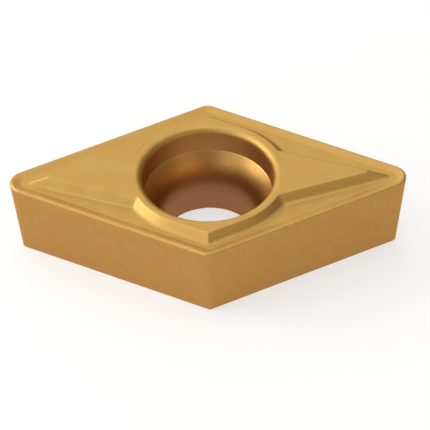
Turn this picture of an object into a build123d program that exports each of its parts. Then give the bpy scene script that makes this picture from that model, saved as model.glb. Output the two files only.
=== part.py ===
from build123d import *
import math
import os

# Driving dimensions, in millimetres and degrees.
point_angle = 55.0        # between the two cutting edges of an acute corner
inscribed_circle = 9.525  # touches all four cutting edges
thickness = 3.97          # from the seat face up to the cutting edges
clearance_angle = 7.0     # lean of the flanks under the cutting edges
nose_radius = 0.8         # acute corners, at the cutting edge
blunt_radius = 0.6        # obtuse corners, at the cutting edge
sharpest_radius = 0.05    # least round that a pressed corner keeps

edge_radius = 0.12        # honing of the cutting edges
edge_land = 0.16          # from the cutting edge in to the top of the slope
rake_width = 0.32         # slope from the land down to the groove floor
groove_depth = 0.09       # groove floor below the cutting edges

island_rise = 0.31        # island top above the cutting edges
wall_angle = 50.0         # chip-breaking wall, from the groove floor
wall_foot_radius = 0.25   # hollow along the foot of the wall
wall_crest_radius = 0.08  # round along the top of the wall
corner_ridge_radius = 0.10  # round where two walls meet over an obtuse corner
point_ridge_radius = 0.15  # round where two walls meet at the island's point
collar_join_radius = 0.20  # hollow where the collar meets the wall of a point
point_spread = 39.0       # between the two walls of the island's point
point_setback = 0.66      # from the nose to where those walls meet on the groove floor

bore_diameter = 4.4       # straight hole for the clamping screw
bore_edge_radius = 0.10   # round where the bore leaves the seat face
seat_curve = 2.6          # bell-mouthed seat for the screw's head
seat_mouth_diameter = 6.08  # where the seat meets the counterbore
counterbore_depth = 1.21  # from the island top down to the seat's mouth
counterbore_draft = 5.6   # lean of the counterbore's wall
lip_radius = 0.32         # round at the counterbore's rim
collar_width = 0.20       # level ring of the island left around the rim

# Angles in radians, measured from the long axis of the insert.
half_point = math.radians(point_angle / 2)
half_spread = math.radians(point_spread / 2)
draft = math.radians(counterbore_draft)

# Levels above the seat face.
floor_level = thickness - groove_depth
island_top = thickness + island_rise
seat_mouth_level = island_top - counterbore_depth

# Cutting edges and flanks.
edge_reach = inscribed_circle / 2
flank_run = thickness * math.tan(math.radians(clearance_angle))
nose_tip = (edge_reach - nose_radius) / math.sin(half_point) + nose_radius

# Counterbore: its wall and the round at its rim.
rim_corner = seat_mouth_diameter / 2 + counterbore_depth * math.tan(draft)
lip_run = lip_radius * math.tan((math.pi / 2 - draft) / 2)
rim_radius = rim_corner + lip_run

# Island: how far its walls lean in, and where they start on the groove floor.
wall_height = island_rise + groove_depth
wall_run = wall_height / math.tan(math.radians(wall_angle))
collar_foot = rim_radius + collar_width + wall_run
point_wall_reach = (nose_tip - point_setback) * math.sin(half_spread)

# The groove is cut past both of its ends, so that it shares no plane with what it meets.
overlap = 0.02
rake_overlap = overlap * rake_width / groove_depth

# Bed of the groove floor: as deep as the groove, and just inside the flanks.
bed_depth = groove_depth
bed_inset = (groove_depth + bed_depth) * math.tan(math.radians(clearance_angle)) + overlap


def polar(radius, angle):
    return (radius * math.cos(angle), radius * math.sin(angle))


def at(level, plan):
    return Pos(0, 0, level) * plan


def edge_plan(inset):
    """The cutting edges seen from above, drawn in by an inset."""
    reach = edge_reach - inset
    long_half = reach / math.sin(half_point)
    short_half = reach / math.cos(half_point)
    corners = [(long_half, 0), (0, short_half), (-long_half, 0), (0, -short_half)]
    plan = make_face(Polyline(*corners, close=True))
    noses = plan.vertices().group_by(Axis.X)
    plan = fillet(noses[0] + noses[-1], max(nose_radius - inset, sharpest_radius))
    blunts = plan.vertices().group_by(Axis.Y)
    return fillet(blunts[0] + blunts[-1], max(blunt_radius - inset, sharpest_radius))


def island_quarter(inset):
    """A quarter of the island's outline: a straight wall beside the obtuse corner,
    the collar round the hole, and a wall running out to the point."""
    collar = collar_foot - inset
    point_wall = point_wall_reach - inset
    wall_corner = (0, collar / math.cos(half_point))
    leave_angle = math.pi / 2 - half_point
    join_angle = math.pi / 2 - half_spread - math.acos(point_wall / collar)
    leave = polar(collar, leave_angle)
    middle = polar(collar, (leave_angle + join_angle) / 2)
    join = polar(collar, join_angle)
    tip = (point_wall / math.sin(half_spread), 0)
    return Line(wall_corner, leave) + ThreePointArc(leave, middle, join) + Line(join, tip)


def island_plan(inset):
    """The island's outline on the groove floor, drawn in by an inset."""
    quarter = island_quarter(inset)
    half = quarter + mirror(quarter, Plane.YZ)
    return make_face(half + mirror(half, Plane.XZ))


def blank():
    """The block under the cutting edges, with its leaning flanks and conical noses."""
    seat = at(0, edge_plan(flank_run))
    top = at(thickness, edge_plan(0))
    body = loft([seat, top], ruled=True)
    return fillet(body.faces().sort_by(Axis.Z)[-1].edges(), edge_radius)


def groove():
    """The hollow behind the edge lands, with its sloping sides carried past both ends."""
    brink = at(thickness + overlap, edge_plan(edge_land - rake_overlap))
    bottom = at(floor_level - overlap, edge_plan(edge_land + rake_width + rake_overlap))
    return loft([bottom, brink], ruled=True)


def rising_edges(body, rank):
    """The island's edges that climb its wall, by rank from the short axis outwards:
    the obtuse corners, the ends of the collar, its joins with the points, the tips."""
    rising = [edge for edge in body.edges() if edge.bounding_box().size.Z > wall_height / 2]
    return ShapeList(rising).group_by(lambda edge: abs(edge.center().X), tol_digits=3)[rank]


def island():
    """The raised middle whose walls curl and break the chip."""
    foot = at(floor_level, island_plan(0))
    top = at(island_top, island_plan(wall_run))
    body = loft([foot, top], ruled=True)
    body = fillet(rising_edges(body, -1), point_ridge_radius)
    body = fillet(rising_edges(body, 2), collar_join_radius)
    body = fillet(rising_edges(body, 0), corner_ridge_radius)
    crest = body.faces().sort_by(Axis.Z)[-1]
    return fillet(crest.edges(), wall_crest_radius)


def groove_floor():
    """The level floor of the groove and the island on it, with the hollow between them."""
    bed = extrude(at(floor_level, edge_plan(bed_inset)), -bed_depth)
    body = bed + island()
    underside, floor, top = body.faces().filter_by(Plane.XY).sort_by(Axis.Z)
    return fillet(floor.inner_wires()[0].edges(), wall_foot_radius)


def screw_hole():
    """Everything open through the middle, from under the seat face to over the island."""
    bore = bore_diameter / 2
    seat_mouth = seat_mouth_diameter / 2
    seat_turn = math.acos(1 - (seat_mouth - bore) / seat_curve)
    seat_start = seat_mouth_level - seat_curve * math.sin(seat_turn)
    wall_top = (rim_corner - lip_run * math.sin(draft), island_top - lip_run * math.cos(draft))
    below = -thickness
    above = island_top + thickness
    exit_radius = bore + bore_edge_radius
    outline = [
        Line((0, below), (exit_radius, below)),
        Line((exit_radius, below), (exit_radius, 0)),
        CenterArc((exit_radius, bore_edge_radius), bore_edge_radius, 180, 90),
        Line((bore, bore_edge_radius), (bore, seat_start)),
        CenterArc((bore + seat_curve, seat_start), seat_curve, 180, -math.degrees(seat_turn)),
        Line((seat_mouth, seat_mouth_level), wall_top),
        CenterArc((rim_radius, island_top - lip_radius), lip_radius, 90, 90 - counterbore_draft),
        Line((rim_radius, island_top), (rim_radius, above)),
        Line((rim_radius, above), (0, above)),
        Line((0, above), (0, below)),
    ]
    section = Plane.XZ * make_face(outline)
    return revolve(section, Axis.Z)


def insert_body():
    return blank() - groove() + groove_floor() - screw_hole()


os.makedirs("parts", exist_ok=True)
export_step(insert_body(), "parts/insert_body.step")
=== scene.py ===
import math

import bpy
from mathutils import Matrix, Vector


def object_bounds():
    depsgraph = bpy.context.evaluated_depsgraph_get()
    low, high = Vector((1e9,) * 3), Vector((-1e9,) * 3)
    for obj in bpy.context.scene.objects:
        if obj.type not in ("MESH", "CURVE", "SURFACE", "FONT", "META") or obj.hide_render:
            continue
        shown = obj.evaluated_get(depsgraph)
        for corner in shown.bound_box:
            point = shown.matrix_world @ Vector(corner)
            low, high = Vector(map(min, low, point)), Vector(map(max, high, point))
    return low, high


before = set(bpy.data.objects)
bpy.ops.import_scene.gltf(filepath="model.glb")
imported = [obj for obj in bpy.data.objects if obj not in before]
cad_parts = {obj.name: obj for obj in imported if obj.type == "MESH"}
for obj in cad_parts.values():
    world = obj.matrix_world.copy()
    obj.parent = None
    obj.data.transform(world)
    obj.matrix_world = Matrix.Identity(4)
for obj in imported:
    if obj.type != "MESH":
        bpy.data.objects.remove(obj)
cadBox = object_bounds()
mm = 0.001

# Camera: a long lens from the front, rolled a little
shot = {
    "azimuth": 0.5,         # degrees
    "elevation": 43,
    "roll": -1.3,
    "lens": 399.5,          # mm
    "distance": 228,        # mm, from the middle of the seat face
    "aimAcross": 0.27,      # mm, aim to the right of that middle
    "aimUp": 1.19,          # mm, and above it
    "clipStart": 10,        # mm
    "clipEnd": 10000,       # mm
}


def directionAt(azimuth, elevation):
    # From the insert outwards: azimuth 0 is the front, 90 its right side
    az = math.radians(azimuth)
    el = math.radians(elevation)
    return Vector((math.sin(az) * math.cos(el), -math.cos(az) * math.cos(el), math.sin(el)))


def makeCamera():
    back = directionAt(shot["azimuth"], shot["elevation"])
    level = Vector((-back.y, back.x, 0)).normalized()
    upright = back.cross(level)
    roll = math.radians(shot["roll"])
    across = math.cos(roll) * level + math.sin(roll) * upright
    up = math.cos(roll) * upright - math.sin(roll) * level
    place = back * shot["distance"] * mm
    aim = (across * shot["aimAcross"] + up * shot["aimUp"]) * mm
    ahead = (aim - place).normalized()
    camRight = ahead.cross(up).normalized()
    camUp = camRight.cross(ahead)
    data = bpy.data.cameras.new("camera")
    data.lens = shot["lens"]
    data.clip_start = shot["clipStart"] * mm
    data.clip_end = shot["clipEnd"] * mm
    camera = bpy.data.objects.new("camera", data)
    bpy.context.scene.collection.objects.link(camera)
    turn = Matrix((camRight, camUp, -ahead)).transposed().to_4x4()
    camera.matrix_world = Matrix.Translation(place) @ turn
    bpy.context.scene.camera = camera


makeCamera()
print("camera set")

# Node helpers, for materials and for node groups


def feed(tree, socket, value):
    # The value is another node's output, a colour, or a plain number or vector
    if isinstance(value, bpy.types.NodeSocket):
        tree.links.new(value, socket)
    elif socket.type == "RGBA":
        socket.default_value = (*value, 1)
    else:
        socket.default_value = value


def addNode(tree, kind, given, **settings):
    node = tree.nodes.new("ShaderNode" + kind)
    for name, setting in settings.items():
        setattr(node, name, setting)
    for key, value in given.items():
        feed(tree, node.inputs[key], value)
    return node


def addMath(tree, operation, *values):
    return addNode(tree, "Math", dict(enumerate(values)), operation=operation).outputs[0]


def addRamp(tree, value, levels):
    given = {"Value": value, "From Min": levels[0], "From Max": levels[1]}
    return addNode(tree, "MapRange", given, interpolation_type="SMOOTHSTEP").outputs[0]


def addNoise(tree, vector, scale, detail, roughness):
    given = {"Vector": vector, "Scale": scale, "Detail": detail, "Roughness": roughness}
    return addNode(tree, "TexNoise", given).outputs["Fac"]


def addMix(tree, share, first, second):
    return addNode(tree, "Mix", {0: share, 6: first, 7: second}, data_type="RGBA").outputs[2]


# Studio: a white floor, a plain world and soft lamps
studio = {
    "floorRadius": 3000,    # mm
    "floorSides": 96,
    "floorColour": (0.93, 0.93, 0.93),
    "floorRoughness": 0.8,
    "floorSpecular": 0.2,
    "floorGlow": 0.62,      # share of plain white that the eye and reflections see
    "worldColour": (1, 0.88, 0.76),
    "worldStrength": 0.3,
    "lampDistance": 300,    # mm
}
lamps = {                   # angles in degrees, size in mm, power in watts
    "left": {"azimuth": -98, "elevation": 25, "size": 240, "power": 0.68, "colour": (1, 1, 1)},
    "front": {"azimuth": -42, "elevation": 24, "size": 260, "power": 0.23, "colour": (1, 1, 1)},
    "back": {"azimuth": 198, "elevation": 31, "size": 340, "power": 0.35, "colour": (1, 1, 1)},
    "top": {"azimuth": -90, "elevation": 80, "size": 280, "power": 0.2, "colour": (1, 1, 1)},
    "backRight": {"azimuth": 122, "elevation": 68, "size": 260, "power": 0.15, "colour": (1, 1, 1)},
    "right": {"azimuth": 36, "elevation": 25, "size": 240, "power": 0.12, "colour": (1, 0.78, 0.6)},
}


def seenStraight(tree):
    # 1 for the camera, in reflections and through glass, and 0 for light that falls on the insert
    path = addNode(tree, "LightPath", {}).outputs
    seen = addMath(tree, "MAXIMUM", path["Is Camera Ray"], path["Is Glossy Ray"])
    return addMath(tree, "MAXIMUM", seen, path["Is Transmission Ray"])


def makeFloor():
    bpy.ops.object.select_all(action="DESELECT")
    bpy.ops.mesh.primitive_circle_add(
        vertices=studio["floorSides"], radius=studio["floorRadius"] * mm, fill_type="NGON")
    floor = bpy.context.object
    floor.name = "floor"
    material = bpy.data.materials.new("whiteTable")
    material.use_nodes = True
    tree = material.node_tree
    shader = tree.nodes["Principled BSDF"]
    feed(tree, shader.inputs["Base Color"], studio["floorColour"])
    feed(tree, shader.inputs["Roughness"], studio["floorRoughness"])
    feed(tree, shader.inputs["Specular IOR Level"], studio["floorSpecular"])
    glow = addNode(tree, "Emission", {})        # plain white
    share = addMath(tree, "MULTIPLY", seenStraight(tree), studio["floorGlow"])
    mix = addNode(tree, "MixShader", {0: share, 1: shader.outputs[0], 2: glow.outputs[0]})
    feed(tree, tree.nodes["Material Output"].inputs["Surface"], mix.outputs[0])
    floor.data.materials.append(material)


def makeWorld():
    world = bpy.data.worlds.new("studio")
    bpy.context.scene.world = world
    world.use_nodes = True
    background = world.node_tree.nodes["Background"]
    background.inputs["Color"].default_value = (*studio["worldColour"], 1)
    background.inputs["Strength"].default_value = studio["worldStrength"]


def makeLamp(name):
    lamp = lamps[name]
    data = bpy.data.lights.new(name + "Softbox", "AREA")
    data.shape = "DISK"
    data.size = lamp["size"] * mm
    data.energy = lamp["power"]
    data.color = lamp["colour"]
    softbox = bpy.data.objects.new(name + "Softbox", data)
    bpy.context.scene.collection.objects.link(softbox)
    back = directionAt(lamp["azimuth"], lamp["elevation"])
    softbox.location = back * studio["lampDistance"] * mm
    softbox.rotation_mode = "QUATERNION"
    softbox.rotation_quaternion = back.to_track_quat("Z", "Y")


makeFloor()
makeWorld()
for lampName in lamps:
    makeLamp(lampName)
print("studio lit")

# Node groups: each gives only heights, masks or colours that change over the surface
socketKinds = {"Vector": "Vector", "Normal": "Vector", "Colour": "Color", "Turned Colour": "Color"}
patterns = {
    "noiseMiddle": 0.5,
    "grainDetail": 3,
    "grainFineness": 0.6,
    "cellsPerGrain": 2.1,
    "cellHeight": 0.5,              # against the grain's
    "pitLevels": (0.5, 0.3),        # of the grain, where a pit starts and where it is full
    "patchDetail": 4,
    "patchFineness": 0.6,
    "patchLevels": (0.35, 0.65),
    "streakDetail": 3,
    "streakFineness": 0.65,
    "streakStretch": (0.07, 0.07, 1),   # long across, thin in height
    "streakLevels": (0.45, 0.7),
}


def newGroup(name, inputs, outputs):
    group = bpy.data.node_groups.new(name, "ShaderNodeTree")
    for side, labels in (("INPUT", inputs), ("OUTPUT", outputs)):
        for label in labels:
            kind = "NodeSocket" + socketKinds.get(label, "Float")
            group.interface.new_socket(name=label, in_out=side, socket_type=kind)
    start = group.nodes.new("NodeGroupInput")
    end = group.nodes.new("NodeGroupOutput")
    return group, start.outputs, end.inputs


def makeGrainGroup():
    # Pressed and sintered grain under the coating
    group, given, out = newGroup(
        "sinteredGrain", ("Vector", "Grain Size", "Roughness", "Roughness Change"),
        ("Height", "Roughness", "Pits"))
    scale = addMath(group, "DIVIDE", 1, given["Grain Size"])
    coarse = addNoise(group, given["Vector"], scale, patterns["grainDetail"], patterns["grainFineness"])
    fineScale = addMath(group, "MULTIPLY", scale, patterns["cellsPerGrain"])
    cells = addNode(group, "TexVoronoi", {"Vector": given["Vector"], "Scale": fineScale})
    cellHeight = addMath(group, "MULTIPLY", cells.outputs["Distance"], patterns["cellHeight"])
    swing = addMath(group, "SUBTRACT", coarse, patterns["noiseMiddle"])
    change = addMath(group, "MULTIPLY", swing, given["Roughness Change"])
    feed(group, out["Height"], addMath(group, "ADD", coarse, cellHeight))
    feed(group, out["Roughness"], addMath(group, "ADD", given["Roughness"], change))
    feed(group, out["Pits"], addRamp(group, coarse, patterns["pitLevels"]))
    return group


def makeDriftGroup():
    # Slow patches where the coating turns towards another tone
    group, given, out = newGroup(
        "coatingDrift", ("Vector", "Colour", "Turned Colour", "Patch Size", "Amount"), ("Colour",))
    scale = addMath(group, "DIVIDE", 1, given["Patch Size"])
    patches = addNoise(group, given["Vector"], scale, patterns["patchDetail"], patterns["patchFineness"])
    turned = addRamp(group, patches, patterns["patchLevels"])
    share = addMath(group, "MULTIPLY", turned, given["Amount"])
    feed(group, out["Colour"], addMix(group, share, given["Colour"], given["Turned Colour"]))
    return group


def makeStreakGroup():
    # Faint grinding marks that run level round the flanks
    group, given, out = newGroup("levelStreaks", ("Vector", "Upright", "Width"), ("Height", "Streak"))
    sides = {0: given["Vector"], 1: patterns["streakStretch"]}
    stretched = addNode(group, "VectorMath", sides, operation="MULTIPLY").outputs[0]
    scale = addMath(group, "DIVIDE", 1, given["Width"])
    marks = addNoise(group, stretched, scale, patterns["streakDetail"], patterns["streakFineness"])
    swing = addMath(group, "SUBTRACT", marks, patterns["noiseMiddle"])
    streak = addRamp(group, marks, patterns["streakLevels"])
    feed(group, out["Height"], addMath(group, "MULTIPLY", swing, given["Upright"]))
    feed(group, out["Streak"], addMath(group, "MULTIPLY", streak, given["Upright"]))
    return group


# Places on the insert, in mm. Of a pair, a mask starts at the first and is full at the second
places = {
    "edgeDrop": 0.31,           # cutting edges below the island's top
    "rimRadius": 3.45,          # of the screw hole
    "holeIn": (0, 0.25),        # in from the rim
    "holeDown": (0.05, 0.5),    # down from the island's top
    "seatDown": (1.15, 1.3),
    "boreDown": (1.6, 2.9),
    "crestDown": (0.12, 0),
    "edgeDown": (0.16, 0.02),   # down from the cutting edges
    "edgeOver": (-0.02, 0),     # a little above them
    "footUp": (2.2, 0),         # up from the seat face
}
facings = {                     # upright part of the surface normal, in the same pairs
    "hole": (-0.9, -0.3),       # leaves out the seat face
    "flank": (0.5, 0.2),
    "round": (0.995, 0.9),
}


def makePlaceGroup():
    # Masks by place: the screw hole, flanks and their foot, cutting edges, and the island's crest
    group, given, out = newGroup(
        "insertPlaces", ("Vector", "Normal", "Edge Level", "Island Top", "Rim Radius"),
        ("Hole", "Seat", "Bore", "Upright", "Low", "Edge", "Crest"))
    place = addNode(group, "SeparateXYZ", {"Vector": given["Vector"]}).outputs
    facing = addNode(group, "SeparateXYZ", {"Vector": given["Normal"]}).outputs["Z"]
    level = addNode(group, "CombineXYZ", {"X": place["X"], "Y": place["Y"]})
    radius = addNode(group, "VectorMath", {0: level.outputs[0]}, operation="LENGTH").outputs["Value"]
    belowTop = addMath(group, "SUBTRACT", given["Island Top"], place["Z"])
    belowEdge = addMath(group, "SUBTRACT", given["Edge Level"], place["Z"])
    lean = addMath(group, "ABSOLUTE", facing)
    # Screw hole, and how deep in it
    inRim = addRamp(group, addMath(group, "SUBTRACT", given["Rim Radius"], radius), places["holeIn"])
    inside = addMath(group, "MULTIPLY", inRim, addRamp(group, facing, facings["hole"]))
    outside = addMath(group, "SUBTRACT", 1, inside)
    # Depth masks that lay the hole's painted light and shade
    for label, levels in (("Hole", "holeDown"), ("Seat", "seatDown"), ("Bore", "boreDown")):
        deep = addRamp(group, belowTop, places[levels])
        feed(group, out[label], addMath(group, "MULTIPLY", inside, deep))
    # Flanks and their foot
    upright = addMath(group, "MULTIPLY", addRamp(group, lean, facings["flank"]), outside)
    low = addRamp(group, place["Z"], places["footUp"])
    feed(group, out["Upright"], upright)
    feed(group, out["Low"], addMath(group, "MULTIPLY", low, upright))
    # Rounds along the cutting edges and along the island's crest
    tilted = addRamp(group, lean, facings["round"])
    edge = addMath(group, "MULTIPLY", addRamp(group, belowEdge, places["edgeDown"]), tilted)
    edge = addMath(group, "MULTIPLY", edge, addRamp(group, belowEdge, places["edgeOver"]))
    crest = addRamp(group, belowTop, places["crestDown"])
    feed(group, out["Edge"], addMath(group, "MULTIPLY", edge, outside))
    feed(group, out["Crest"], addMath(group, "MULTIPLY", crest, tilted))
    return group


def useGroup(tree, group, given):
    return addNode(tree, "Group", given, node_tree=group).outputs


# Gold coating over sintered carbide
coating = {
    "gold": (0.52, 0.345, 0.103),
    "orange": (0.52, 0.28, 0.075),      # where the coating is thinner
    # flank tones: darker copies of the gold and orange, painted shade on the flanks; their patches are
    # random tone
    "flank": (0.52, 0.305, 0.098),
    "flankShadedOrange": (0.515, 0.265, 0.078),
    "foot": (0.52, 0.28, 0.088),        # low on the flanks
    "worn": (0.56, 0.36, 0.12),         # on cutting edges and crest
    "pit": (0.40, 0.21, 0.06),          # bottom of the grain
    "wallPaintedLight": (0.60, 0.33, 0.12),         # of the hole, above the screw's seat: painted light, redder than the gold for light bounced round the hole
    # painted shade on the screw's seat, darker than the gold
    "seat": (0.42, 0.235, 0.072),
    "deep": (0.35, 0.15, 0.07),         # painted shade down in the bore, darker and redder
    "grazingTint": (1, 0.8, 0.55),
    "streakAmount": 0.35,
    "footAmount": 0.5,
    "wornAmount": 0.3,
    "pitAmount": 0.3,
    "roughness": 0.53,
    "roughnessChange": 0.16,
    "wornSmoother": 0.06,
    "holeSmoother": 0.15,               # ground smooth for the screw's head
    "grainSize": 0.07,                  # mm
    "grainDepth": 0.006,                # mm
    "patchSize": 1.0,                   # mm
    "patchAmount": 0.42,
    "patchStart": (4, 2, 0),            # mm, where the pattern begins
    "flankPatchSize": 0.55,             # mm
    "flankPatchAmount": 0.7,
    "streakWidth": 0.09,                # mm
    "streakDepth": 0.003,               # mm
}


def makeCoating():
    material = bpy.data.materials.new("goldCoating")
    material.use_nodes = True
    tree = material.node_tree
    shader = tree.nodes["Principled BSDF"].inputs
    coords = addNode(tree, "TexCoord", {}).outputs
    inMm = {"Vector": coords["Object"], "Scale": (1 / mm, 1 / mm, 1 / mm)}
    place = addNode(tree, "Mapping", inMm).outputs[0]
    moved = addNode(tree, "Mapping", {"Vector": place, "Location": coating["patchStart"]}).outputs[0]
    islandTop = cadBox[1][2] / mm       # nothing on the insert is higher
    masks = useGroup(tree, makePlaceGroup(), {
        "Vector": place, "Normal": coords["Normal"], "Edge Level": islandTop - places["edgeDrop"],
        "Island Top": islandTop, "Rim Radius": places["rimRadius"]})
    grain = useGroup(tree, makeGrainGroup(), {
        "Vector": place, "Grain Size": coating["grainSize"], "Roughness": coating["roughness"],
        "Roughness Change": coating["roughnessChange"]})
    streaks = useGroup(tree, makeStreakGroup(), {
        "Vector": place, "Upright": masks["Upright"], "Width": coating["streakWidth"]})
    driftGroup = makeDriftGroup()
    topDrift = useGroup(tree, driftGroup, {
        "Vector": moved, "Colour": coating["gold"], "Turned Colour": coating["orange"],
        "Patch Size": coating["patchSize"], "Amount": coating["patchAmount"]})
    flankShadedDrift = useGroup(tree, driftGroup, {
        "Vector": moved, "Colour": coating["flank"], "Turned Colour": coating["flankShadedOrange"],
        "Patch Size": coating["flankPatchSize"], "Amount": coating["flankPatchAmount"]})
    # Colour, from the whole coating down to its small places
    wornPlaces = addMath(tree, "MAXIMUM", masks["Edge"], masks["Crest"])
    # Flanks take their darker tones: painted shade on the flanks
    colour = addMix(tree, masks["Upright"], topDrift["Colour"], flankShadedDrift["Colour"])
    layers = (
        (streaks["Streak"], "streakAmount", "orange"),
        (masks["Low"], "footAmount", "foot"),
        (wornPlaces, "wornAmount", "worn"),
        (grain["Pits"], "pitAmount", "pit"),
    )
    for mask, amount, tone in layers:
        share = addMath(tree, "MULTIPLY", mask, coating[amount])
        colour = addMix(tree, share, colour, coating[tone])
    # Painted light and shade in the screw hole: a redder wall, a darker seat, a darker and redder bore
    for label, tone in (("Hole", "wallPaintedLight"), ("Seat", "seat"), ("Bore", "deep")):
        colour = addMix(tree, masks[label], colour, coating[tone])
    # Roughness: the grain's, smoother where it is worn and in the hole
    rubbed = addMath(tree, "MULTIPLY", wornPlaces, coating["wornSmoother"])
    ground = addMath(tree, "MULTIPLY", masks["Hole"], coating["holeSmoother"])
    roughness = addMath(tree, "SUBTRACT", grain["Roughness"], rubbed)
    roughness = addMath(tree, "SUBTRACT", roughness, ground)
    # Relief: grain all over, and streaks on the flanks
    streakShare = coating["streakDepth"] / coating["grainDepth"]
    streakRelief = addMath(tree, "MULTIPLY", streaks["Height"], streakShare)
    relief = addMath(tree, "ADD", grain["Height"], streakRelief)
    bump = addNode(tree, "Bump", {"Height": relief, "Distance": coating["grainDepth"] * mm})
    feed(tree, shader["Base Color"], colour)
    feed(tree, shader["Roughness"], roughness)
    feed(tree, shader["Normal"], bump.outputs[0])
    feed(tree, shader["Metallic"], 1)
    feed(tree, shader["Specular Tint"], coating["grazingTint"])
    return material


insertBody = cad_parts["insert_body"]
insertBody.data.materials[0] = makeCoating()
print("coating laid")

scene = bpy.context.scene
scene.view_settings.view_transform = "Standard"
